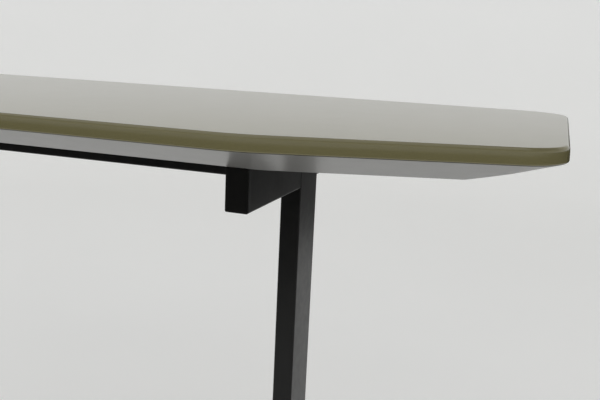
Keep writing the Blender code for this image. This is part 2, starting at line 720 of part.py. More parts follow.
def make_inlet(carriage, centre):
    """A mains inlet: a cup open towards -X, with three blades on its floor."""
    wide, tall = INLET_OUTSIDE
    x, y, z = centre
    cup = block_mesh("mains_inlet", (INLET_DEPTH, wide, tall))
    inlet = place("mains_inlet", cup, CAP_BLACK, (x + INLET_DEPTH / 2, y, z), carriage)
    hollow = INLET_DEPTH - INLET_FLOOR
    pocket = block_mesh("inlet_pocket", (2 * hollow, *INLET_INSIDE))
    cut(inlet, place_cutter("inlet_pocket", pocket, (x, y, z), carriage))
    pin_wide, pin_tall, pin_long = INLET_PIN
    for number in range(3):
        rise = INLET_PIN_RISE if number == 1 else 0
        pin = block_mesh(f"inlet_pin_{number}", (pin_long + INLET_FLOOR / 2, pin_wide, pin_tall))
        spot_x = x + hollow - pin_long / 2 + INLET_FLOOR / 4
        spot = (spot_x, y + (number - 1) * INLET_PIN_PITCH, z + rise)
        blade = place_cutter(f"inlet_pin_{number}", pin, spot, carriage)
        join = inlet.modifiers.new(blade.name, "BOOLEAN")
        join.operation = "UNION"
        join.solver = "EXACT"
        join.object = blade


def make_handset(carriage):
    """The handset under the front of the top, inside the left arm, with its two buttons."""
    length, depth, height = HANDSET
    x = -ARM_X + ARM_WIDTH / 2 + HANDSET_FROM_ARM + length / 2
    front = FLAT_FRONT + HANDSET_BEHIND_SLOPE
    z = UNDERSIDE - GAP - height / 2
    where = (x, front + depth / 2, z)
    body = place("handset_body", block_mesh("handset_body", HANDSET), CAP_BLACK, where, carriage)
    round_edges(body, HANDSET_EDGE)
    wide, deep, tall = BUTTON
    pocket_deep = deep - BUTTON_PROUD + BUTTON_TRAVEL + GAP
    for name, sign in (("down", -1), ("up", 1)):
        spot_x = x + sign * BUTTON_PITCH / 2
        pocket = block_mesh(f"{name}_pocket", (wide + 2 * GAP, 2 * pocket_deep, tall + 2 * GAP))
        cut(body, place_cutter(f"{name}_pocket", pocket, (spot_x, front, z), carriage))
        where = (spot_x, front - BUTTON_PROUD + deep / 2, z)
        key = place(f"button_{name}", block_mesh(f"button_{name}", BUTTON), BUTTON_GREY, where, carriage)
        round_edges(key, BUTTON_EDGE)


def build_desk():
    carriage = new_empty("carriage", (0, 0, TOP_HEIGHT))
    make_board(carriage)
    make_tray(carriage)
    make_battens(carriage)
    make_arms(carriage)
    make_arm_screws(carriage)
    make_outer_columns(carriage)
    make_crossbeam(carriage)
    make_collars(carriage)
    make_inner_columns()
    make_housings(carriage)
    make_spindles(carriage)
    make_motor(carriage)
    make_feet()
    make_control_box(carriage)
    make_handset(carriage)


build_desk()
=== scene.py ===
"""The looks of the height adjustable standing desk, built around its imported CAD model.

The frame is the CAD's: metres, the origin on the floor under the middle of the top, X along the desk,
the user at -Y, Z up. Every visible CAD node is replaced by a finer piece of the same size.
"""

import math

import bmesh
import bpy
from mathutils import Matrix, Vector


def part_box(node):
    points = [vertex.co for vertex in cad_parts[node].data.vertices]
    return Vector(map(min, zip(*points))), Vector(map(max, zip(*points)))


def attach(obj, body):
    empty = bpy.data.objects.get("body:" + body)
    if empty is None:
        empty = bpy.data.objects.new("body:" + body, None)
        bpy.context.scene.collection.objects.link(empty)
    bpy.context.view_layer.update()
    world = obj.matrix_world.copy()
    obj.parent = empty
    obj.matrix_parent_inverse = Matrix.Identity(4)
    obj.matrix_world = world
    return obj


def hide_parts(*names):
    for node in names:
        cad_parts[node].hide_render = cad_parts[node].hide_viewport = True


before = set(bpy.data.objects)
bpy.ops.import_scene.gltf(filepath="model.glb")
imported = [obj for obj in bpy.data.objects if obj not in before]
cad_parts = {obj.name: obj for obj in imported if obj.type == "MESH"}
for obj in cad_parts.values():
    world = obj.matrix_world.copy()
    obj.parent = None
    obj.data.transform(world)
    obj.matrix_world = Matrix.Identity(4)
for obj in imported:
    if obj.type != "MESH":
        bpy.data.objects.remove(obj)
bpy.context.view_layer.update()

MM = 0.001

# Sizes that the frame's boxes don't give, as in the CAD

TAPER_LENGTH = 348 * MM  # stretch of the front edge that runs back towards each end
TAPER_DEPTH = 118.5 * MM
FRONT_CORNER_RADIUS = 75 * MM
TAPER_RADIUS = 187 * MM
BACK_CORNER_RADIUS = 84 * MM
SLOPE_WIDTH = 120 * MM
TRAY_LOWER_CORNER = 6 * MM
TRAY_RIM = 25 * MM
TRAY_FLOOR = 6 * MM
TUBE_WALL = 2 * MM
TUBE_CORNER = 2.5 * MM
CAP_FACE = 3 * MM
CLEARANCE = 0.3 * MM  # between CAD pieces that touch

# Sizes of the finer detail

ARRIS_TOP = 5.5 * MM
ARRIS_BOTTOM = 2 * MM
EDGE_LEAN = 0.6 * MM  # how far the board's edge curves back towards its upper rounding
TRAY_ARRIS = 1.5 * MM
TRAY_RIM_EDGE = 0.3 * MM
RIM_EDGE = 0.4 * MM  # the deburred edge of a cut tube
CAP_EDGE = 1.0 * MM
CAP_CROWN = 0.5 * MM
WELDED_IN = 2.2 * MM  # an arm or beam fills the hollow beside the column's round corner
WELD_SIZE = 3 * MM
WELD_RIPPLE = 1.5 * MM
WELD_END = 2 * MM  # the stretch over which a weld tapers at each end
SMOOTH_CIRCLE = 48  # sides
FINE_CIRCLE = 96

SIDES = (("left", -1), ("right", 1))
ENDS = (("front", -1), ("back", 1))
ALONG_Y = (-math.pi / 2, 0, 0)  # turns a piece built along Z to run along +Y
AGAINST_Y = (math.pi / 2, 0, 0)
ALONG_X = (0, math.pi / 2, 0)
AGAINST_X = (0, -math.pi / 2, 0)


# Materials


class Look:
    """A procedural material: fields of noise in object space that feed one Principled shader."""

    def __init__(self, name, roughness, metallic=0.0, specular=0.5):
        self.material = bpy.data.materials.new(name)
        self.material.use_nodes = True
        self.tree = self.material.node_tree
        self.shader = self.tree.nodes["Principled BSDF"]
        self.shader.inputs["Roughness"].default_value = roughness
        self.shader.inputs["Metallic"].default_value = metallic
        self.shader.inputs["Specular IOR Level"].default_value = specular
        self.place = self.tree.nodes.new("ShaderNodeTexCoord").outputs["Object"]
        self.normal = None

    def add(self, kind, inputs=(), **settings):
        made = self.tree.nodes.new(kind)
        for name, value in settings.items():
            setattr(made, name, value)
        for socket, value in dict(inputs).items():
            if isinstance(value, bpy.types.NodeSocket):
                self.tree.links.new(value, made.inputs[socket])
            else:
                made.inputs[socket].default_value = value
        return made

    def stretched(self, stretch):
        if stretch is None:
            return self.place
        return self.add("ShaderNodeMapping", {"Vector": self.place, "Scale": stretch}).outputs["Vector"]

    def noise(self, size, detail=2.0, rough=0.5, stretch=None, twist=0.0):
        """Noise from 0 to 1 whose lumps are about size metres across."""
        inputs = {
            "Vector": self.stretched(stretch),
            "Scale": 1 / size,
            "Detail": detail,
            "Roughness": rough,
            "Distortion": twist,
        }
        return self.add("ShaderNodeTexNoise", inputs).outputs["Fac"]

    def remap(self, field, low, high, start=0.3, end=0.7):
        """Low to high as the field goes from start to end, held outside them."""
        inputs = {"Value": field, "From Min": start, "From Max": end, "To Min": low, "To Max": high}
        return self.add("ShaderNodeMapRange", inputs).outputs["Result"]

    def times(self, one, other):
        return self.add("ShaderNodeMath", {0: one, 1: other}, operation="MULTIPLY").outputs["Value"]

    def blend(self, field, one, other):
        """From colour one to colour other by a field of 0 to 1. Each may be a colour or a socket."""
        node = self.add("ShaderNodeMix", {0: field}, data_type="RGBA")
        for socket, value in ((node.inputs[6], one), (node.inputs[7], other)):
            if isinstance(value, bpy.types.NodeSocket):
                self.tree.links.new(value, socket)
            else:
                socket.default_value = (*value, 1.0)
        return node.outputs[2]

    def colour(self, socket):
        self.tree.links.new(socket, self.shader.inputs["Base Color"])

    def roughness(self, socket):
        self.tree.links.new(socket, self.shader.inputs["Roughness"])

    def relief(self, field, depth):
        """Adds a bump of that depth in metres to the ones before it."""
        inputs = {"Height": field, "Distance": depth, "Strength": 1.0}
        if self.normal is not None:
            inputs["Normal"] = self.normal
        self.normal = self.add("ShaderNodeBump", inputs).outputs["Normal"]
        self.tree.links.new(self.normal, self.shader.inputs["Normal"])


def shade(colour, factor):
    return tuple(part * factor for part in colour)


def lacquer_look(name, colour, roughness, clouding, specular=0.5):
    """Sprayed satin lacquer: faint clouds and specks of tone, rubbed patches, and orange peel."""
    look = Look(name, roughness, specular=specular)
    clouds = look.remap(look.noise(0.16, detail=5, rough=0.6), 0, 1)
    specks = look.remap(look.noise(1.2 * MM, detail=2), 0, 1)
    cloudy = look.blend(clouds, shade(colour, 1 - clouding), shade(colour, 1 + clouding))
    dark = look.blend(clouds, shade(colour, 0.90 - clouding), shade(colour, 0.90 + clouding))
    look.colour(look.blend(specks, cloudy, dark))
    rubbed = look.noise(45 * MM, detail=4, rough=0.65)
    look.roughness(look.remap(rubbed, roughness * 0.96, roughness * 1.05))
    look.relief(look.noise(2.6 * MM, detail=1), 0.010 * MM)
    look.relief(look.noise(60 * MM, detail=1), 0.10 * MM)
    return look.material


def powder_look():
    """Fine-textured black powder coat, with a little dust in the grain."""
    look = Look("powder_black", 0.31, specular=0.29)
    grain = look.noise(0.7 * MM, detail=1)
    dust = look.remap(look.noise(70 * MM, detail=2), 0, 1, 0.45, 0.75)
    fine = look.remap(grain, 0, 1)
    base = look.blend(fine, (0.0028, 0.0028, 0.0026), (0.0038, 0.0038, 0.0036))
    look.colour(look.blend(look.times(dust, 0.4), base, (0.0070, 0.0069, 0.0066)))
    look.roughness(look.remap(look.noise(12 * MM, detail=1), 0.28, 0.34))
    look.relief(grain, 0.008 * MM)
    look.relief(look.noise(4 * MM, detail=1), 0.008 * MM)
    return look.material


def plastic_look(name, colour, roughness, specular=0.5):
    """Moulded plastic: a spark-eroded grain, faint flow marks and a slight gloss change."""
    look = Look(name, roughness, specular=specular)
    grain = look.noise(0.45 * MM, detail=2, rough=0.6)
    flow = look.remap(look.noise(14 * MM, detail=3, twist=0.8), 0, 1)
    look.colour(look.blend(flow, shade(colour, 0.86), shade(colour, 1.12)))
    look.roughness(look.remap(grain, roughness - 0.05, roughness + 0.07))
    look.relief(grain, 0.018 * MM)
    return look.material


def steel_look(name, colour, roughness, stretch):
    """Bright steel with fine drawing lines and a few duller patches."""
    look = Look(name, roughness, metallic=1.0)
    lines = look.noise(0.5 * MM, detail=3, rough=0.7, stretch=stretch)
    patches = look.remap(look.noise(9 * MM, detail=4), 0, 1)
    look.colour(look.blend(patches, shade(colour, 0.82), colour))
    look.roughness(look.remap(lines, roughness * 0.75, roughness * 1.35))
    look.relief(lines, 0.006 * MM)
    return look.material


def rubber_look():
    look = Look("pad_black_rubber", 0.68, specular=0.35)
    bloom = look.remap(look.noise(8 * MM, detail=5, rough=0.7), 0, 1)
    look.colour(look.blend(bloom, (0.016, 0.016, 0.016), (0.028, 0.027, 0.026)))
    look.roughness(look.remap(bloom, 0.60, 0.76, 0.0, 1.0))
    look.relief(look.noise(0.7 * MM, detail=3), 0.03 * MM)
    return look.material


def wood_look():
    """Planed softwood: growth rings drawn out along the grain, with pores."""
    look = Look("batten_softwood", 0.65, specular=0.3)
    rings = look.noise(9 * MM, detail=3, rough=0.55, stretch=(1, 0.08, 1), twist=1.2)
    fibres = look.noise(0.8 * MM, detail=3, rough=0.7, stretch=(1, 0.05, 1))
    tone = look.blend(look.remap(rings, 0, 1), (0.60, 0.46, 0.29), (0.42, 0.29, 0.16))
    look.colour(look.blend(look.remap(fibres, 0, 0.35), tone, (0.30, 0.20, 0.11)))
    look.roughness(look.remap(fibres, 0.58, 0.74))
    look.relief(fibres, 0.05 * MM)
    return look.material


OLIVE = lacquer_look("olive_satin", (0.150, 0.136, 0.066), 0.13, 0.020, specular=0.58)
GREY = lacquer_look("grey_satin", (0.180, 0.177, 0.169), 0.30, 0.02, specular=0.34)
POWDER = powder_look()
PLASTIC = plastic_look("moulded_black", (0.0034, 0.0034, 0.0031), 0.46, specular=0.13)
BUTTON_GREY = plastic_look("moulded_grey", (0.160, 0.160, 0.160), 0.42)
ARROW_GREY = plastic_look("moulded_pale_grey", (0.520, 0.520, 0.510), 0.45)
GLIDE = plastic_look("glide_cream", (0.640, 0.620, 0.560), 0.40)
STEEL = steel_look("drawn_steel", (0.56, 0.56, 0.55), 0.30, (1, 1, 0.06))
ZINC = steel_look("zinc_plate", (0.50, 0.51, 0.52), 0.38, None)
MOTOR = lacquer_look("motor_enamel", (0.120, 0.120, 0.125), 0.48, 0.06)
RUBBER = rubber_look()
WOOD = wood_look()


# Shapes


def new_mesh(name, shape, sharp=35):
    mesh = bpy.data.meshes.new(name)
    bmesh.ops.recalc_face_normals(shape, faces=shape.faces)
    shape.to_mesh(mesh)
    shape.free()
    mesh.shade_smooth()
    mesh.set_sharp_from_angle(angle=math.radians(sharp))
    return mesh


def loft(shape, rings, closed=False):
    """Adds a closed skin through rings with equal numbers of points to a bmesh."""
    rows = [[shape.verts.new(point) for point in ring] for ring in rings]
    pairs = list(zip(rows, rows[1:]))
    if closed:
        pairs.append((rows[-1], rows[0]))
    else:
        shape.faces.new(list(reversed(rows[0])))
        shape.faces.new(rows[-1])
    count = len(rings[0])
    for lower, upper in pairs:
        for i in range(count):
            following = (i + 1) % count
            shape.faces.new((lower[i], lower[following], upper[following], upper[i]))
    return rows


def lofted(name, rings, closed=False, sharp=35):
    shape = bmesh.new()
    loft(shape, rings, closed)
    return new_mesh(name, shape, sharp)


def inward_normals(corners, i):
    """The inward normals of the edges that run into and out of corner i."""
    here = corners[i][0]
    before = (here - corners[i - 1][0]).normalized()
    after = (corners[(i + 1) % len(corners)][0] - here).normalized()
    return Vector((-before.y, before.x)), Vector((-after.y, after.x))


def rounded_outline(corners, steps):
    """Points round a convex outline, given counter-clockwise corners, each with its rounding."""
    points = []
    for i, (here, radius) in enumerate(corners):
        normal_in, normal_out = inward_normals(corners, i)
        centre = here + (normal_in + normal_out) * radius / (1 + normal_in.dot(normal_out))
        turn = math.atan2(normal_in.cross(normal_out), normal_in.dot(normal_out))
        for step in range(steps + 1):
            spoke = Matrix.Rotation(turn * step / steps, 2) @ normal_in
            points.append(centre - radius * spoke)
    return points


def at_height(outline, height):
    return [Vector((point.x, point.y, height)) for point in outline]


def rectangle(width, depth, radius, steps=6):
    """A rounded rectangle about the origin, counter-clockwise."""
    corners = []
    for sign_x, sign_y in ((1, 1), (-1, 1), (-1, -1), (1, -1)):
        corners.append((Vector((sign_x * width / 2, sign_y * depth / 2)), radius))
    return rounded_outline(corners, steps)


def rectangle_ring(size, radius, inset, height, steps=6):
    """A rounded rectangle moved inwards by inset, at a height."""
    width, depth = size
    least = 0.15 * MM
    outline = rectangle(width - 2 * inset, depth - 2 * inset, max(radius - inset, least), steps)
    return at_height(outline, height)


def quarter(steps=4):
    """Shares (inwards, upwards) along a quarter round, from the side to the face."""
    for step in range(steps + 1):
        angle = math.pi / 2 * step / steps
        yield 1 - math.cos(angle), math.sin(angle)


def rounded_foot(size, corner, edge, height):
    """Rings of the rounded edge round the lower face of a box, from height upwards."""
    rings = []
    for inwards, upwards in reversed(list(quarter())):
        rings.append(rectangle_ring(size, corner, inwards * edge, height + edge * (1 - upwards)))
    return rings


def rounded_head(size, corner, edge, height):
    """Rings of the rounded edge round the upper face of a box, up to height."""
    rings = []
    for inwards, upwards in quarter():
        rings.append(rectangle_ring(size, corner, inwards * edge, height - edge * (1 - upwards)))
    return rings


def groove(size, corner, height, depth, width):
    """Rings of a seam round a box, from height upwards, with sloping sides."""
    side = 0.2 * MM
    profile = ((0, 0), (depth, side), (depth, width - side), (0, width))
    return [rectangle_ring(size, corner, inset, height + rise) for inset, rise in profile]


def box_rings(size, corner, edge):
    """Rings of a box along Z, from the origin up, with round corners and round edges at both ends."""
    width, depth, height = size
    face = (width, depth)
    return rounded_foot(face, corner, edge, 0) + rounded_head(face, corner, edge, height)


def block(name, size, corner=0.8 * MM):
    """A block with round corners along Z, from the origin up."""
    return lofted(name, box_rings(size, corner, corner * 0.6))


def add_block(shape, size, corner, location):
    """Adds a block to a bmesh."""
    mesh = block("part", size, corner)
    mesh.transform(Matrix.Translation(location))
    shape.from_mesh(mesh)
    bpy.data.meshes.remove(mesh)


def tube(name, size, length, corner=TUBE_CORNER, wall=TUBE_WALL):
    """A rectangular tube along Z from the origin, its cut ends deburred."""
    half = RIM_EDGE
    profile = (
        (half, 0),
        (0, half),
        (0, length - half),
        (half, length),
        (wall - half, length),
        (wall, length - half),
        (wall, half),
        (wall - half, 0),
    )
    rings = [rectangle_ring(size, corner, inset, height) for inset, height in profile]
    return lofted(name, rings, closed=True)


def cap(name, size, corner, plug_depth, wall=TUBE_WALL):
    """A moulded end cap along Z: a crowned face outside the tube, a ribbed plug inside."""
    plug = wall + CLEARANCE
    lead_in, lip = (0.8 * MM, 1 * MM), 0.25 * MM
    face = CAP_FACE - CAP_CROWN
    profile = [
        (plug + lead_in[0], -plug_depth),
        (plug, lead_in[1] - plug_depth),
        (plug, 0),
        (lip, 0),
        (0, lip),
    ]
    rings = [rectangle_ring(size, corner, inset, height) for inset, height in profile]
    rings += rounded_head(size, corner, CAP_EDGE, face)
    for share, rise in ((0.10, 0.35), (0.35, 0.80), (0.70, 1.0)):
        inset = CAP_EDGE + share * (min(size) / 2 - CAP_EDGE) * 0.9
        rings.append(rectangle_ring(size, corner, inset, face + rise * CAP_CROWN))
    return lofted(name, rings, sharp=50)


def circle(radius, height, count=SMOOTH_CIRCLE, ripple=None):
    """A ring of points. ripple(angle) multiplies the radius."""
    points = []
    for step in range(count):
        angle = 2 * math.pi * step / count
        reach = radius * (ripple(angle) if ripple else 1)
        points.append(Vector((reach * math.cos(angle), reach * math.sin(angle), height)))
    return points


def hexagon(angle):
    """The reach of a hexagon of apothem 1 at an angle."""
    return 1 / math.cos((angle + math.pi / 6) % (math.pi / 3) - math.pi / 6)


def six_lobes(angle):
    """The reach of a six-lobe recess of middle radius 1 at an angle."""
    return 1 + 0.14 * math.cos(6 * angle)


def weld_into(shape, start, end, one_way, other_way):
    """A rippled fillet weld from start to end, in the corner whose faces run one_way and other_way."""
    length = (end - start).length
    along = (end - start) / length
    count = max(int(length / (WELD_RIPPLE / 4)), 8)
    sunk = -CLEARANCE * (one_way + other_way)
    rings = []
    for step in range(count + 1):
        t = length * step / count
        taper = min(1.0, 0.35 + t / WELD_END, 0.35 + (length - t) / WELD_END)
        ripple = abs(math.sin(math.pi * t / WELD_RIPPLE))
        size = WELD_SIZE * taper * (0.90 + 0.10 * ripple)
        middle = start + along * t
        ring = [middle + sunk]
        for turn in (0, 18, 36, 54, 72, 90):
            angle = math.radians(turn)
            reach = size * (1 - 0.22 * math.sin(2 * angle))
            out = one_way * (reach * math.cos(angle)) + other_way * (reach * math.sin(angle))
            ring.append(middle + out)
        rings.append(ring)
    loft(shape, rings)


# Placing


def placed(name, data, location=(0, 0, 0)):
    """A new object in the scene for a mesh, a light or a camera."""
    made = bpy.data.objects.new(name, data)
    bpy.context.scene.collection.objects.link(made)
    made.location = location
    return made


def even_normals(made):
    """Keeps flat faces evenly lit beside their rounded edges."""
    flat = made.modifiers.new("even_normals", "WEIGHTED_NORMAL")
    flat.keep_sharp = True


def piece(name, mesh, look, body, replaced=(), location=(0, 0, 0), turn=(0, 0, 0)):
    """A visible piece that rides on a body and stands in for the replaced CAD nodes."""
    made = placed(name, mesh, location)
    made.rotation_euler = turn
    mesh.materials.append(look)
    even_normals(made)
    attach(made, body)
    if replaced:
        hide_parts(*replaced)
    return made


def middle_of(node):
    low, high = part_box(node)
    return (low + high) / 2


def size_of(node):
    low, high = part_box(node)
    return high - low


# The top

BOARD_LOW, BOARD_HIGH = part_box("desktop_board")
TRAY_LOW, TRAY_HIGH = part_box("underside_tray")
TOP_HEIGHT = BOARD_HIGH.z


def top_outline(inset, least_radius, steps=20):
    """The outline of the top, moved inwards. Its rounding shrinks with it, down to least_radius."""
    end, side = BOARD_HIGH.x, BOARD_HIGH.y
    corners = [
        (Vector((end, side)), BACK_CORNER_RADIUS),
        (Vector((-end, side)), BACK_CORNER_RADIUS),
        (Vector((-end, TAPER_DEPTH - side)), FRONT_CORNER_RADIUS),
        (Vector((TAPER_LENGTH - end, -side)), TAPER_RADIUS),
        (Vector((end - TAPER_LENGTH, -side)), TAPER_RADIUS),
        (Vector((end, TAPER_DEPTH - side)), FRONT_CORNER_RADIUS),
    ]
    moved = []
    for i, (here, radius) in enumerate(corners):
        normal_in, normal_out = inward_normals(corners, i)
        step = (normal_in + normal_out) * inset / (1 + normal_in.dot(normal_out))
        moved.append((here + step, max(radius - inset, least_radius)))
    return rounded_outline(moved, steps)


def top_ring(inset, height, least_radius=TRAY_LOWER_CORNER):
    return at_height(top_outline(inset, least_radius), height)


def make_board():
    """The board, with a wide rounding above, a small one below, and an edge that leans back a little."""
    rings = []
    for inwards, upwards in reversed(list(quarter())):
        height = BOARD_LOW.z + ARRIS_BOTTOM * (1 - upwards)
        rings.append(top_ring(inwards * ARRIS_BOTTOM, height))
    low, high = BOARD_LOW.z + ARRIS_BOTTOM, BOARD_HIGH.z - ARRIS_TOP
    for share in (0.2, 0.4, 0.6, 0.8):
        rings.append(top_ring(EDGE_LEAN * share ** 2, low + share * (high - low)))
    for inwards, upwards in quarter(12):
        height = high + ARRIS_TOP * upwards
        rings.append(top_ring(EDGE_LEAN + inwards * ARRIS_TOP, height))
    mesh = lofted("board", rings, sharp=60)
    piece("board", mesh, OLIVE, "top", ["desktop_board"])


def make_tray():
    """The sloping tray: a rim against the board, the slope, a flat floor, and the hollow above it."""
    rim = BOARD_HIGH.x - TRAY_HIGH.x
    drop = TRAY_HIGH.z - TRAY_LOW.z
    slope = drop / (SLOPE_WIDTH - rim)
    floor = TRAY_LOW.z + TRAY_FLOOR
    pocket = TRAY_RIM + (TRAY_HIGH.z - floor) / slope
    rings = [
        top_ring(pocket + 4 * MM, floor),
        top_ring(pocket, floor),
        top_ring(TRAY_RIM, TRAY_HIGH.z),
        top_ring(rim + TRAY_RIM_EDGE, TRAY_HIGH.z),
        top_ring(rim, TRAY_HIGH.z - TRAY_RIM_EDGE),
    ]
    for share in (0.02, 0.25, 0.5, 0.75):
        inset = rim + share * (SLOPE_WIDTH - rim)
        height = TRAY_HIGH.z - share * drop - TRAY_RIM_EDGE * (1 - share)
        rings.append(top_ring(inset, height))
    for share in (-1, -0.5, 0, 0.5, 1):
        along = SLOPE_WIDTH + share * TRAY_ARRIS
        sag = slope * TRAY_ARRIS * (1 - share) ** 2 / 4
        rings.append(top_ring(along, TRAY_LOW.z + sag))
    mesh = lofted("tray", rings, sharp=40)
    piece("tray", mesh, GREY, "top", ["underside_tray"])


def screw_rings(head_radius, head_height, recess_radius, recess_depth, reach):
    """Rings of a button-head screw along Z, from the bottom of its recess over the head."""
    edge = 0.15 * MM
    flat = recess_radius * 1.35
    rings = [
        circle(recess_radius, -head_height + recess_depth, ripple=reach),
        circle(recess_radius, -head_height + edge, ripple=reach),
        circle(recess_radius + edge, -head_height, ripple=reach),
        circle(flat, -head_height),
    ]
    for turn in (20, 40, 60, 80):
        angle = math.radians(turn)
        radius = flat + (head_radius - flat) * math.sin(angle)
        rings.append(circle(radius, -head_height * math.cos(angle)))
    rings.append(circle(head_radius, -0.12 * head_height))
    rings.append(circle(head_radius - 0.2 * MM, 0))
    return rings


ARM_SCREW_HEAD = 3.4 * MM  # height
ARM_SCREW_SOCKET = (2.0 * MM, 2.2 * MM)  # apothem and depth
ARM_SCREW_TIP = 0.8 * MM  # radius
ARM_SCREW_POINT = 3.6 * MM  # length


def make_arm_screws():
    """Button-head screws with a hexagon socket, up through the arms."""
    for end, _ in ENDS:
        for side, _ in SIDES:
            node = f"arm_screw_{end}_{side}"
            low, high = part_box(node)
            head = size_of(node).x / 2
            shank = high.z - low.z - ARM_SCREW_HEAD
            rings = screw_rings(head, ARM_SCREW_HEAD, *ARM_SCREW_SOCKET, hexagon)
            rings.append(circle(head / 2, 0))
            rings.append(circle(head / 2, shank - ARM_SCREW_POINT))
            rings.append(circle(ARM_SCREW_TIP, shank))
            spot = (middle_of(node).x, middle_of(node).y, low.z + ARM_SCREW_HEAD)
            name = f"socket_screw_{end}_{side}"
            mesh = lofted(name, rings, sharp=40)
            piece(name, mesh, ZINC, "top", [node], spot)


# Where the tray's screws sit, as shares of half a batten's length
TRAY_SCREW_PLACES = (-0.62, -0.2, 0.2, 0.62)


def make_tray_screws():
    """Flush screws with a six-lobe recess, through the tray's floor into the cross battens."""
    number = 0
    for end, _ in ENDS:
        y = middle_of(f"batten_{end}").y
        for share in TRAY_SCREW_PLACES:
            number += 1
            x = share * size_of(f"batten_{end}").x / 2
            rings = [
                circle(1.5 * MM, 1.4 * MM, ripple=six_lobes),
                circle(1.6 * MM, -0.2 * MM, ripple=six_lobes),
                circle(3.4 * MM, -0.25 * MM),
                circle(3.75 * MM, -0.15 * MM),
                circle(3.8 * MM, 0),
                circle(1.6 * MM, 2.6 * MM),
                circle(1.5 * MM, 18 * MM),
                circle(0.4 * MM, 22 * MM),
            ]
            name = f"tray_screw_{number}"
            mesh = lofted(name, rings, sharp=40)
            piece(name, mesh, ZINC, "top", (), (x, y, TRAY_LOW.z))


# The frame under the top


def make_level_tube(name, node, body, before=0.0, after=0.0):
    """A tube along Y that reaches past its node's box by before and after."""
    low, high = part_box(node)
    size = (high.x - low.x, high.z - low.z)
    mesh = tube(name, size, high.y - low.y + before + after)
    spot = ((low.x + high.x) / 2, low.y - before, (low.z + high.z) / 2)
    piece(name, mesh, POWDER, body, [node], spot, ALONG_Y)


def make_end_cap(name, node, tube_node, sign_y, body):
    """The cap in the front (-1) or back (1) end of a tube along Y."""
    low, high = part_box(node)
    tube_low, tube_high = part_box(tube_node)
    size = (tube_high.x - tube_low.x, tube_high.z - tube_low.z)
    face = high.y - CAP_FACE if sign_y > 0 else low.y + CAP_FACE
    mesh = cap(name, size, TUBE_CORNER, high.y - low.y - CAP_FACE)
    spot = ((tube_low.x + tube_high.x) / 2, face, (tube_low.z + tube_high.z) / 2)
    turn = ALONG_Y if sign_y > 0 else AGAINST_Y
    piece(name, mesh, PLASTIC, body, [node], spot, turn)


def make_arms():
    """Four arms whose inner ends reach into the column's wall, with caps in their outer ends."""
    for side, _ in SIDES:
        for end, sign_y in ENDS:
            place = f"{end}_{side}"
            before, after = (0.0, WELDED_IN) if sign_y < 0 else (WELDED_IN, 0.0)
            make_level_tube(f"arm_tube_{place}", f"arm_{place}", "top", before, after)
            make_end_cap(f"arm_end_{place}", f"arm_cap_{place}", f"arm_{place}", sign_y, "top")


def make_crossbeam():
    low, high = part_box("crossbeam")
    mesh = tube("beam_tube", (high.z - low.z, high.y - low.y), high.x - low.x + 2 * WELDED_IN)
    spot = (low.x - WELDED_IN, (low.y + high.y) / 2, (low.z + high.z) / 2)
    piece("beam_tube", mesh, POWDER, "top", ["crossbeam"], spot, ALONG_X)


def make_columns():
    for side, _ in SIDES:
        for node, name, body in (
            (f"outer_column_{side}", f"column_tube_{side}", "top"),
            (f"inner_column_{side}", f"slide_tube_{side}", "base"),
        ):
            low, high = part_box(node)
            mesh = tube(name, (high.x - low.x, high.y - low.y), high.z - low.z)
            spot = ((low.x + high.x) / 2, (low.y + high.y) / 2, low.z)
            piece(name, mesh, POWDER, body, [node], spot)


COLLAR_FACE = 4 * MM  # the part below the outer tube
COLLAR_EDGE = 1.0 * MM
COLLAR_MOUTH = 0.6 * MM
COLLAR_LIP = 0.3 * MM
COLLAR_LEAD_IN = 0.4 * MM


def make_collars():
    """The moulded collar on each outer tube's lower end, round the inner tube."""
    for side, _ in SIDES:
        node = f"column_collar_{side}"
        low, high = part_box(node)
        size = (high.x - low.x, high.y - low.y)
        inner_low, inner_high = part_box(f"inner_column_{side}")
        bore = (size[0] - (inner_high.x - inner_low.x)) / 2 - CLEARANCE
        sleeve = high.z - low.z
        step = TUBE_WALL + CLEARANCE
        profile = [(bore, COLLAR_MOUTH), (bore - COLLAR_MOUTH, 0)]
        for inwards, upwards in reversed(list(quarter())):
            profile.append((inwards * COLLAR_EDGE, COLLAR_EDGE * (1 - upwards)))
        profile += [
            (0, COLLAR_FACE - COLLAR_LIP),
            (COLLAR_LIP, COLLAR_FACE),
            (step, COLLAR_FACE),
            (step, sleeve - COLLAR_LEAD_IN),
            (step + COLLAR_LEAD_IN, sleeve),
            (bore, sleeve),
        ]
        rings = [rectangle_ring(size, TUBE_CORNER, inset, height) for inset, height in profile]
        mesh = lofted(f"collar_{side}", rings, closed=True, sharp=50)
        spot = ((low.x + high.x) / 2, (low.y + high.y) / 2, low.z)
        piece(f"collar_{side}", mesh, PLASTIC, "top", [node], spot)


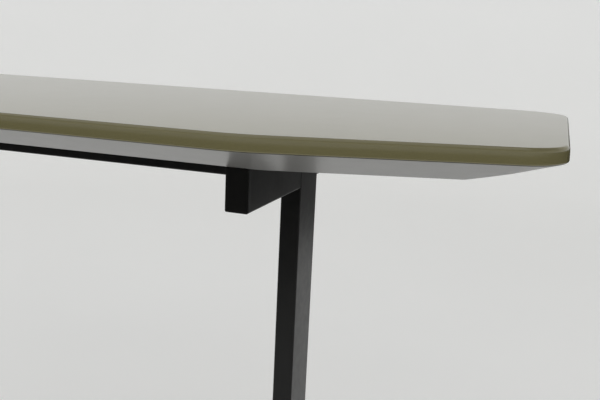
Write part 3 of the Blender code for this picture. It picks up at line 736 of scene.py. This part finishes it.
def make_welds():
    """Fillet welds under the arms and the beam, and round the foot of each inner tube."""
    down = Vector((0, 0, -1))
    shape = bmesh.new()
    for side, sign_x in SIDES:
        column_low, column_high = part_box(f"outer_column_{side}")
        for end, sign_y in ENDS:
            arm_low, arm_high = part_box(f"arm_{end}_{side}")
            y = column_high.y if sign_y > 0 else column_low.y
            stretch = (arm_low.x + TUBE_CORNER, arm_high.x - TUBE_CORNER)
            ends = [Vector((x, y, arm_low.z)) for x in stretch]
            weld_into(shape, *ends, down, Vector((0, sign_y, 0)))
        beam_low, beam_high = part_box("crossbeam")
        x = column_low.x if sign_x > 0 else column_high.x
        stretch = (beam_low.y + TUBE_CORNER, beam_high.y - TUBE_CORNER)
        ends = [Vector((x, y, beam_low.z)) for y in stretch]
        weld_into(shape, *ends, down, Vector((-sign_x, 0, 0)))
    mesh = new_mesh("frame_welds", shape)
    piece("frame_welds", mesh, POWDER, "top")
    up = Vector((0, 0, 1))
    short = 1 * MM  # the welds stop this far from the tube's corners
    shape = bmesh.new()
    for side, _ in SIDES:
        low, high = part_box(f"inner_column_{side}")
        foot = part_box(f"foot_{side}")[1].z
        for sign in (-1, 1):
            x = high.x if sign > 0 else low.x
            ends = [Vector((x, y, foot)) for y in (low.y + short, high.y - short)]
            weld_into(shape, *ends, up, Vector((sign, 0, 0)))
            y = high.y if sign > 0 else low.y
            ends = [Vector((x, y, foot)) for x in (low.x + short, high.x - short)]
            weld_into(shape, *ends, up, Vector((0, sign, 0)))
    mesh = new_mesh("foot_welds", shape)
    piece("foot_welds", mesh, POWDER, "base")


# The feet


def make_feet():
    for side, _ in SIDES:
        make_level_tube(f"foot_tube_{side}", f"foot_{side}", "base")
        for end, sign_y in ENDS:
            place = f"{end}_{side}"
            make_end_cap(f"foot_end_{place}", f"foot_cap_{place}", f"foot_{side}", sign_y, "base")


PAD_HEIGHT = 7 * MM
PAD_NECK = 4.2 * MM  # radius, round the stud
STUD_RADIUS = 4 * MM
THREAD_PITCH = 1.25 * MM
THREAD_DEPTH = 0.6 * MM


def pad_grip(angle):
    """The shallow grip ribs round a pad's rim."""
    return 1 - 0.02 * (0.5 + 0.5 * math.cos(24 * angle))


def make_pads():
    """Levelling pads: a rubber foot with a grip rim on a threaded stud."""
    for end, _ in ENDS:
        for side, _ in SIDES:
            node = f"levelling_pad_{end}_{side}"
            low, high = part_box(node)
            radius = (high.x - low.x) / 2
            body = f"pad_{end}_{side}"
            profile = (
                (radius * 0.55, 0.6 * MM, None),
                (radius * 0.60, 0, None),
                (radius - 1.0 * MM, 0, None),
                (radius - 0.3 * MM, 0.3 * MM, None),
                (radius, 1.0 * MM, pad_grip),
                (radius, PAD_HEIGHT - 2.2 * MM, pad_grip),
                (radius - 0.5 * MM, PAD_HEIGHT - 1.5 * MM, None),
                (radius - 1.6 * MM, PAD_HEIGHT - 1.0 * MM, None),
                (radius * 0.45, PAD_HEIGHT - 0.5 * MM, None),
                (radius * 0.38, PAD_HEIGHT, None),
                (PAD_NECK, PAD_HEIGHT, None),
            )
            rings = [circle(reach, z, FINE_CIRCLE, ripple) for reach, z, ripple in profile]
            spot = (middle_of(node).x, middle_of(node).y, low.z)
            mesh = lofted(f"pad_{end}_{side}", rings, sharp=50)
            piece(f"pad_{end}_{side}", mesh, RUBBER, body, [node], spot)
            make_stud(f"stud_{end}_{side}", body, spot, high.z - low.z)


def make_stud(name, body, spot, height):
    """A threaded stud: the thread is a ridge that climbs one pitch in each turn."""
    sides, levels = 24, 6  # round the stud, and in each turn of the thread
    runout = 1.5 * MM
    start = PAD_HEIGHT - 1 * MM
    rings = []
    count = int((height - start) / THREAD_PITCH * levels)
    for level in range(count + 1):
        z = start + (height - start) * level / count
        ring = []
        for step in range(sides):
            phase = (level / levels - step / sides) % 1
            fade = min(1.0, (height - z) / runout)
            depth = THREAD_DEPTH * (1 - fade + fade * abs(2 * phase - 1))
            angle = 2 * math.pi * step / sides
            reach = STUD_RADIUS - depth
            ring.append(Vector((reach * math.cos(angle), reach * math.sin(angle), z)))
        rings.append(ring)
    mesh = lofted(name, rings, sharp=70)
    piece(name, mesh, STEEL, body, (), spot)


# The controls


def cut(target, mesh, location):
    """Cuts a mesh's shape out of a piece and applies the cut."""
    tool = placed("cutter", mesh, location)
    hole = target.modifiers.new("hole", "BOOLEAN")
    hole.operation = "DIFFERENCE"
    hole.solver = "EXACT"
    hole.object = tool
    target.modifiers.remove(target.modifiers["even_normals"])
    bpy.context.view_layer.update()
    graph = bpy.context.evaluated_depsgraph_get()
    result = bpy.data.meshes.new_from_object(target.evaluated_get(graph))
    target.modifiers.clear()
    target.data = result
    bpy.data.objects.remove(tool)
    result.set_sharp_from_angle(angle=math.radians(35))
    even_normals(target)


HANDSET_CORNER = 4 * MM
HANDSET_EDGE = 1.6 * MM
HANDSET_SEAM = (15 * MM, 0.4 * MM, 1.0 * MM)  # from the back, depth and width
KEY_SLOT_DEPTH = 9.5 * MM
KEY_SPACE = 0.8 * MM  # clear width beside the keys, both sides together
KEY_CORNER = 1.2 * MM
KEY_CROWN = 0.35 * MM
KEY_EDGE = 0.9 * MM
ARROW_REACH = 2.9 * MM
ARROW_CORNER = 0.35 * MM


def make_handset():
    """The handset's case, with one slot for both buttons and a bar between them."""
    low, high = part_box("handset_body")
    size = (high.x - low.x, high.z - low.z)
    depth = high.y - low.y
    keys = [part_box(f"button_{way}") for way in ("down", "up")]
    (down_low, down_high), (up_low, up_high) = keys
    slot = (up_high.x - down_low.x + KEY_SPACE, down_high.z - down_low.z + KEY_SPACE)
    seam, seam_depth, seam_width = HANDSET_SEAM
    rings = rounded_foot(size, HANDSET_CORNER, HANDSET_EDGE, -depth)
    rings += groove(size, HANDSET_CORNER, seam - depth, seam_depth, seam_width)
    rings += rounded_head(size, HANDSET_CORNER, HANDSET_EDGE, 0)
    lip = ((-0.5 * MM, 0), (-0.15 * MM, -0.15 * MM), (0, -0.5 * MM), (0, -KEY_SLOT_DEPTH))
    for inset, height in lip:
        rings.append(rectangle_ring(slot, KEY_CORNER, inset, height))
    spot = ((low.x + high.x) / 2, low.y, (low.z + high.z) / 2)
    mesh = lofted("handset_case", rings, sharp=50)
    piece("handset_case", mesh, PLASTIC, "top", ["handset_body"], spot, AGAINST_Y)
    between = up_low.x - down_high.x - KEY_SPACE
    bar = (between, slot[1] - 0.4 * MM, KEY_SLOT_DEPTH - 0.5 * MM)
    mesh = lofted("handset_bar", box_rings(bar, 0.6 * MM, 0.6 * MM), sharp=50)
    bar_at = ((up_low.x + down_high.x) / 2, low.y + KEY_SLOT_DEPTH, spot[2])
    piece("handset_bar", mesh, PLASTIC, "top", (), bar_at, AGAINST_Y)


def make_buttons():
    """Two crowned buttons, each with a raised triangle that points the way it drives the top."""
    for way, sign in (("down", -1), ("up", 1)):
        node = f"button_{way}"
        low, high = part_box(node)
        size = (high.x - low.x, high.z - low.z)
        depth = high.y - low.y
        skirt = 0.3 * MM
        rings = [
            rectangle_ring(size, KEY_CORNER, skirt, -depth),
            rectangle_ring(size, KEY_CORNER, 0, skirt - depth),
        ]
        rings += rounded_head(size, KEY_CORNER, KEY_EDGE, -KEY_CROWN)
        for share, rise in ((0.3, 0.6), (0.7, 1.0)):
            inset = KEY_EDGE + share * (size[1] / 2 - KEY_EDGE)
            rings.append(rectangle_ring(size, KEY_CORNER, inset, -KEY_CROWN * (1 - rise)))
        spot = ((low.x + high.x) / 2, low.y, (low.z + high.z) / 2)
        mesh = lofted(f"key_{way}", rings, sharp=50)
        piece(f"key_{way}", mesh, BUTTON_GREY, f"button_{way}", [node], spot, AGAINST_Y)
        corners = []
        for turn in (90, 210, 330):
            angle = math.radians(turn)
            here = Vector((ARROW_REACH * math.cos(angle), sign * ARROW_REACH * math.sin(angle)))
            corners.append((here, ARROW_CORNER))
        if sign < 0:
            corners.reverse()
        outline = rounded_outline(corners, 4)
        rings = [at_height(outline, z) for z in (-0.3 * MM, 0.05 * MM)]
        inner = [(here * 0.90, radius) for here, radius in corners]
        rings.append(at_height(rounded_outline(inner, 4), 0.15 * MM))
        mesh = lofted(f"arrow_{way}", rings, sharp=40)
        arrow_at = (spot[0], low.y, spot[2])
        piece(f"arrow_{way}", mesh, ARROW_GREY, f"button_{way}", (), arrow_at, AGAINST_Y)


BOX_CORNER = 6 * MM
BOX_EDGE = 2.0 * MM
BOX_SEAM = (12 * MM, 0.5 * MM, 1.2 * MM)  # from the lower face of the ribs, depth and width
RIB_HEIGHT = 1.2 * MM
RIB_WIDTH = 2.4 * MM
RIB_PITCH = 12 * MM
RIB_COUNT = 15
RIB_MARGIN = 22 * MM  # how much shorter than the box the ribs are
SOCKET_PLACES = (-26 * MM, 0, 26 * MM)
SOCKET_HOLE = (20 * MM, 14 * MM, 11 * MM)
SOCKET_OUTSIDE = (13.6 * MM, 10.6 * MM)
SOCKET_INSIDE = (10.6 * MM, 7.6 * MM)
SOCKET_LENGTH = 9 * MM
SOCKET_DEPTH = 7.5 * MM
PIN_SIZE = (0.7 * MM, 0.7 * MM, 5 * MM)
PIN_PITCH = 2.2 * MM
PIN_ROW = 1.6 * MM  # from the middle
INLET_INSIDE = (19 * MM, 26 * MM)
INLET_FLOOR = 3 * MM
BLADE_SIZE = (2 * MM, 4 * MM, 12 * MM)
BLADE_PITCH = 7 * MM
BLADE_RISE = 4 * MM  # of the middle blade
CUTTER_CORNER = 0.5 * MM


def make_control_box():
    """The control box: a ribbed case with a seam, an inlet at one end and sockets at the other."""
    low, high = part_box("control_box")
    length, depth, height = high - low
    middle = (low + high) / 2
    face = (length, depth)
    rim = 0.4 * MM
    rings = rounded_foot(face, BOX_CORNER, BOX_EDGE, RIB_HEIGHT)
    rings += groove(face, BOX_CORNER, *BOX_SEAM)
    rings.append(rectangle_ring(face, BOX_CORNER, 0, height - rim))
    rings.append(rectangle_ring(face, BOX_CORNER, rim, height))
    spot = (middle.x, middle.y, low.z)
    mesh = lofted("box_case", rings, sharp=40)
    case = piece("box_case", mesh, PLASTIC, "top", ["control_box"], spot)
    inlet_low, inlet_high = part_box("mains_inlet")
    inlet = inlet_high - inlet_low
    recess_size = (2 * inlet.x, inlet.y + 2 * CLEARANCE, inlet.z + 2 * CLEARANCE)
    recess = block("recess", recess_size, CUTTER_CORNER)
    cut(case, recess, (low.x, middle.y, inlet_low.z - CLEARANCE))
    for y in SOCKET_PLACES:
        hole = block("socket_hole", SOCKET_HOLE, CUTTER_CORNER)
        cut(case, hole, (high.x, middle.y + y, middle.z - SOCKET_HOLE[2] / 2))
    ribs = bmesh.new()
    rib = (RIB_WIDTH, depth - RIB_MARGIN, RIB_HEIGHT + 0.8 * MM)
    for number in range(RIB_COUNT):
        x = (number - (RIB_COUNT - 1) // 2) * RIB_PITCH
        add_block(ribs, rib, 1.0 * MM, (x, 0, 0))
    piece("box_ribs", new_mesh("box_ribs", ribs), PLASTIC, "top", (), spot)
    make_sockets(high.x, middle)
    make_inlet(inlet_low, inlet_high)


def make_sockets(face, middle):
    """Sockets for the motor leads and the handset's lead: a frame, and its two rows of contacts."""
    for number, y in enumerate(SOCKET_PLACES, 1):
        rings = [
            rectangle_ring(SOCKET_OUTSIDE, 0.6 * MM, 0, -SOCKET_LENGTH),
            rectangle_ring(SOCKET_OUTSIDE, 0.6 * MM, 0, 0),
            rectangle_ring(SOCKET_INSIDE, 0.4 * MM, -0.3 * MM, 0),
            rectangle_ring(SOCKET_INSIDE, 0.4 * MM, 0, -0.4 * MM),
            rectangle_ring(SOCKET_INSIDE, 0.4 * MM, 0, -SOCKET_DEPTH),
        ]
        mesh = lofted(f"lead_socket_{number}", rings, sharp=40)
        spot = (face, middle.y + y, middle.z)
        piece(f"lead_socket_{number}", mesh, BUTTON_GREY, "top", (), spot, ALONG_X)
        pins = bmesh.new()
        for pin in range(4):
            for row in (-1, 1):
                at = (row * PIN_ROW, (pin - 1.5) * PIN_PITCH, -0.2 * MM - SOCKET_DEPTH)
                add_block(pins, PIN_SIZE, 0.2 * MM, at)
        name = f"lead_pins_{number}"
        piece(name, new_mesh(name, pins), STEEL, "top", (), spot, ALONG_X)


def snipped_ring(size, inset, snip, radius, height):
    """A rectangle with two corners cut off, moved inwards by inset."""
    wide, tall = size[0] / 2 - inset, size[1] / 2 - inset
    corners = [(wide, tall), (-wide + snip, tall), (-wide, tall - snip)]
    corners += [(-wide, snip - tall), (-wide + snip, -tall), (wide, -tall)]
    outline = rounded_outline([(Vector(corner), radius) for corner in corners], 4)
    return at_height(outline, height)


def make_inlet(low, high):
    """The mains inlet: a cup with two cut corners, and three blades."""
    depth = high.x - low.x
    middle = (low + high) / 2
    outside = (high.z - low.z, high.y - low.y)
    snip, radius = (5 * MM, 1.0 * MM), (0.8 * MM, 0.5 * MM)  # inside and outside
    rings = [
        snipped_ring(INLET_INSIDE, 0, snip[0], radius[0], INLET_FLOOR - depth),
        snipped_ring(INLET_INSIDE, 0, snip[0], radius[0], -0.5 * MM),
        snipped_ring(INLET_INSIDE, -0.4 * MM, snip[0], radius[0], 0),
        snipped_ring(outside, 0, snip[1], radius[1], 0),
        snipped_ring(outside, 0, snip[1], radius[1], -depth),
    ]
    mesh = lofted("inlet_cup", rings, sharp=40)
    spot = (low.x, middle.y, middle.z)
    piece("inlet_cup", mesh, PLASTIC, "top", ["mains_inlet"], spot, AGAINST_X)
    blades = bmesh.new()
    for number in (-1, 0, 1):
        rise = 0 if number else BLADE_RISE
        add_block(blades, BLADE_SIZE, 0.5 * MM, (rise, number * BLADE_PITCH, INLET_FLOOR / 2 - depth))
    name = "inlet_blades"
    piece(name, new_mesh(name, blades), STEEL, "top", (), spot, AGAINST_X)


# Inner parts keep their CAD shape

INNER_LOOKS = (
    (WOOD, ("batten_front", "batten_back", "batten_left", "batten_right")),
    (GLIDE, ("glide_ring_left", "glide_ring_right", "spindle_nut_left", "spindle_nut_right")),
    (MOTOR, ("gear_housing_left", "gear_housing_right", "drive_motor")),
    (STEEL, ("spindle_left", "spindle_right", "spindle_gear_left", "spindle_gear_right")),
    (STEEL, ("spindle_bearing_left", "spindle_bearing_right", "shaft_gear_left", "shaft_gear_right")),
    (STEEL, ("drive_shaft_left", "drive_shaft_right")),
)


def finish_inner_parts():
    for look, nodes in INNER_LOOKS:
        for node in nodes:
            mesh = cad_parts[node].data
            mesh.materials.clear()
            mesh.materials.append(look)


# The stage, the light and the camera

FLOOR_RADIUS = 5.5
SWEEP_RADIUS = 2.5
SWEEP_STEPS = 12
WALL_TOP = 6.0
PAPER = (0.75, 0.755, 0.765)
HIGH_PAPER = (0.66, 0.64, 0.58)  # the wall fades to these warmer tones between the fade heights
HIGH_GLOW = (0.85, 0.83, 0.74)
FADE_HEIGHTS = (1.7, 3.2)
GLOW = (0.99, 1.0, 1.0)
GLOW_NEAR = 0.235  # the paper's own light, which evens it out away from the softboxes
GLOW_FAR = 0.325
GLOW_REACH = (1.5, 7.0)  # the distances from the origin at which it is near and far
WORLD_STRENGTH = 0.24
OVERHEAD_POWER = 56
FILL_POWER = 18


def paper_look():
    """Matt paper that glows faintly and turns warmer high up the wall."""
    look = Look("stage_paper", 0.9, specular=0.1)
    height = look.add("ShaderNodeSeparateXYZ", {"Vector": look.place}).outputs["Z"]
    high = look.remap(height, 0, 1, *FADE_HEIGHTS)
    paper = look.blend(look.remap(look.noise(0.8, detail=2), 0, 1), shade(PAPER, 0.98), PAPER)
    look.colour(look.blend(high, paper, HIGH_PAPER))
    reach = look.add("ShaderNodeVectorMath", {0: look.place}, operation="LENGTH").outputs["Value"]
    glow = look.remap(reach, GLOW_NEAR, GLOW_FAR, *GLOW_REACH)
    tint = look.blend(high, GLOW, HIGH_GLOW)
    look.tree.links.new(tint, look.shader.inputs["Emission Color"])
    look.tree.links.new(glow, look.shader.inputs["Emission Strength"])
    return look.material


def make_stage():
    """A round pale floor that sweeps up into a wall on all sides."""
    profile = [(radius, 0) for radius in (0.5, 1.5, 3.0, FLOOR_RADIUS)]
    for step in range(1, SWEEP_STEPS + 1):
        angle = math.pi / 2 * step / SWEEP_STEPS
        radius = FLOOR_RADIUS + SWEEP_RADIUS * math.sin(angle)
        profile.append((radius, SWEEP_RADIUS * (1 - math.cos(angle))))
    profile.append((FLOOR_RADIUS + SWEEP_RADIUS, WALL_TOP))
    shape = bmesh.new()
    rings = [circle(radius, z, FINE_CIRCLE) for radius, z in profile]
    rows = [[shape.verts.new(point) for point in ring] for ring in rings]
    shape.faces.new(rows[0])
    for inner, outer in zip(rows, rows[1:]):
        for i in range(FINE_CIRCLE):
            following = (i + 1) % FINE_CIRCLE
            shape.faces.new((inner[i], outer[i], outer[following], inner[following]))
    mesh = bpy.data.meshes.new("stage")
    shape.to_mesh(mesh)
    shape.free()
    mesh.shade_smooth()
    mesh.materials.append(paper_look())
    made = placed("stage", mesh)


# Black cloths that only show in reflections: name, start and end on the floor, lower and upper edge
FLAGS = (
    ("flag_front", (-4.5, -2.2), (4.5, -2.2), 0.0, 1.05),
    ("flag_side", (4.5, -2.2), (5.0, 2.2), 0.0, 1.05),
    ("flag_right", (0.95, 2.6), (5.0, 2.2), 0.13, 1.05),
)


def make_flags():
    look = Look("flag_cloth", 1.0, specular=0.0)
    look.colour(look.blend(look.noise(0.02), (0.010, 0.010, 0.010), (0.014, 0.014, 0.014)))
    for name, start, end, low, high in FLAGS:
        mesh = bpy.data.meshes.new(name)
        corners = [(*start, low), (*end, low), (*end, high), (*start, high)]
        mesh.from_pydata(corners, [], [(0, 1, 2, 3)])
        mesh.materials.append(look.material)
        made = placed(name, mesh)
        made.visible_camera = False
        made.visible_diffuse = False
        made.visible_shadow = False


def make_softbox(name, centre, target, width, height, power):
    light = bpy.data.lights.new(name, "AREA")
    light.shape = "RECTANGLE"
    light.size = width
    light.size_y = height
    light.energy = power
    made = placed(name, light, centre)
    made.rotation_euler = (Vector(target) - Vector(centre)).to_track_quat("-Z", "Y").to_euler()
    made.visible_camera = False
    return made


def light_stage():
    make_softbox("overhead", (-0.4, -0.2, 4.2), (-0.1, 0.0, 0.8), 6.0, 5.0, OVERHEAD_POWER)
    fill = make_softbox("front_fill", (1.2, -2.4, 3.0), (0.2, 0.0, 0.9), 2.0, 1.4, FILL_POWER)
    fill.visible_glossy = False  # its mirror image would be a bright spot on the board's rounding
    world = bpy.data.worlds.new("studio")
    world.use_nodes = True
    background = world.node_tree.nodes["Background"]
    background.inputs["Color"].default_value = (1.0, 1.0, 0.99, 1.0)
    background.inputs["Strength"].default_value = WORLD_STRENGTH
    bpy.context.scene.world = world
    bpy.context.scene.view_settings.view_transform = "Standard"


CAMERA_LENS = 44.21
CAMERA_FROM_END = 19.6 * MM  # inside the right end of the top
CAMERA_IN_FRONT = 738.7 * MM
CAMERA_ABOVE = 98.7 * MM  # over the surface of the top
CAMERA_YAW = 18.8377  # degrees, to the left of straight ahead
CAMERA_PITCH = 11.8393  # degrees, down
CAMERA_ROLL = 2.7085  # degrees


def make_camera():
    yaw, pitch, roll = (math.radians(angle) for angle in (CAMERA_YAW, CAMERA_PITCH, CAMERA_ROLL))
    level = Vector((-math.sin(yaw), math.cos(yaw), 0))
    across = Vector((math.cos(yaw), math.sin(yaw), 0))
    forward = level * math.cos(pitch) - Vector((0, 0, 1)) * math.sin(pitch)
    upward = Vector((0, 0, 1)) * math.cos(pitch) + level * math.sin(pitch)
    right = across * math.cos(roll) + upward * math.sin(roll)
    top = upward * math.cos(roll) - across * math.sin(roll)
    data = bpy.data.cameras.new("camera")
    data.lens = CAMERA_LENS
    data.sensor_width = 36.0
    data.clip_start = 0.05
    data.clip_end = 60
    camera = placed("camera", data)
    turn = Matrix((right, top, -forward)).transposed().to_4x4()
    spot = (BOARD_HIGH.x - CAMERA_FROM_END, BOARD_LOW.y - CAMERA_IN_FRONT, TOP_HEIGHT + CAMERA_ABOVE)
    camera.matrix_world = Matrix.Translation(spot) @ turn
    bpy.context.scene.camera = camera


make_board()
make_tray()
make_arm_screws()
make_tray_screws()
make_arms()
make_crossbeam()
make_columns()
make_collars()
make_welds()
make_feet()
make_pads()
make_handset()
make_buttons()
make_control_box()
finish_inner_parts()
make_stage()
make_flags()
light_stage()
make_camera()
